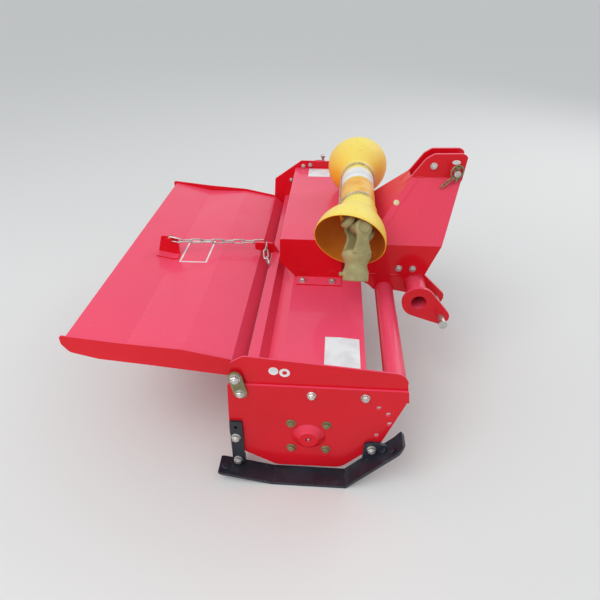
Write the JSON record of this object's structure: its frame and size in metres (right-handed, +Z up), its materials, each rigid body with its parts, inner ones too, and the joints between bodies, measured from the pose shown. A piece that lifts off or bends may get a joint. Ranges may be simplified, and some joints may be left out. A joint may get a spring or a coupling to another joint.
{
  "type": "rotary tiller",
  "caption": "Rotary tiller for a small tractor: steel hood with mast, side gear case, L-tined rotor, skids, a rear flap held up by a chain and a stowed drive shaft.",
  "frame": {"origin": "middle of the machine's outline, on the ground under the skids", "axes": "+X forward to the tractor, +Y to the machine's left (the gear case's side), +Z up"},
  "size_m": [1.0296, 1.168, 0.7139],
  "materials": {
    "red_paint": "gloss",
    "red_cast": "painted",
    "dark_paint": "satin",
    "bright_steel": "zinc plated",
    "khaki_zinc": "yellow zinc plated",
    "yellow_plastic": "moulded"
  },
  "bodies": {
    "frame": {"hood_deck": "red_paint", "hood_end_near": "red_paint", "side_plate_near": "red_paint", "bearing_housing": "red_paint", "bearing_cap": "red_paint", "side_plate_far": "red_paint", "gear_case": "red_paint", "gear_case_cover": "red_paint", "front_tube": "red_paint", "drive_box": "red_paint", "gearbox": "red_cast", "mast_plate_near": "red_paint", "mast_plate_far": "red_paint", "mast_shell_near": "red_paint", "mast_shell_far": "red_paint", "top_ear_near": "red_paint", "top_ear_far": "red_paint", "mast_rear_sheet": "red_paint", "hitch_tube": "red_paint", "hitch_plate_near": "red_paint", "hitch_plate_far": "red_paint", "lower_pins": "bright_steel", "top_pin": "bright_steel", "linch_pin": "khaki_zinc", "hinge_link_near": "khaki_zinc", "hinge_link_far": "khaki_zinc", "skid_near": "dark_paint", "skid_far": "dark_paint", "skid_straps": "dark_paint", "chain_tail": "bright_steel", "chain_bracket": "red_paint", "guard_cones": "yellow_plastic", "guard_tube": "yellow_plastic", "joint_crosses": "khaki_zinc", "joint_yokes": "khaki_zinc", "shaft_tube": "bright_steel"},
    "rotor": {"rotor": "dark_paint"},
    "input": {"input_shaft": "bright_steel"},
    "flap": {"flap": "red_paint", "flap_end_near": "red_paint", "flap_end_far": "red_paint", "flap_bracket": "red_paint", "chain_span": "bright_steel"}
  },
  "joints": [
    {"name": "rotor_spin", "type": "hinge", "parent": "frame", "child": "rotor", "pos_m": [0.089, 0, 0.142], "axis": [0, 1, 0], "continuous": true},
    {"name": "input_spin", "type": "hinge", "parent": "frame", "child": "input", "pos_m": [0.3, 0.065, 0.428], "axis": [1, 0, 0], "continuous": true},
    {"name": "flap_hinge", "type": "hinge", "parent": "frame", "child": "flap", "pos_m": [-0.091, 0, 0.339], "axis": [0, -1, 0], "range_deg": [0, 57]}
  ],
  "couplings": [
    {"joint": "input_spin", "follows": "rotor_spin", "ratio": 2.7}
  ]
}
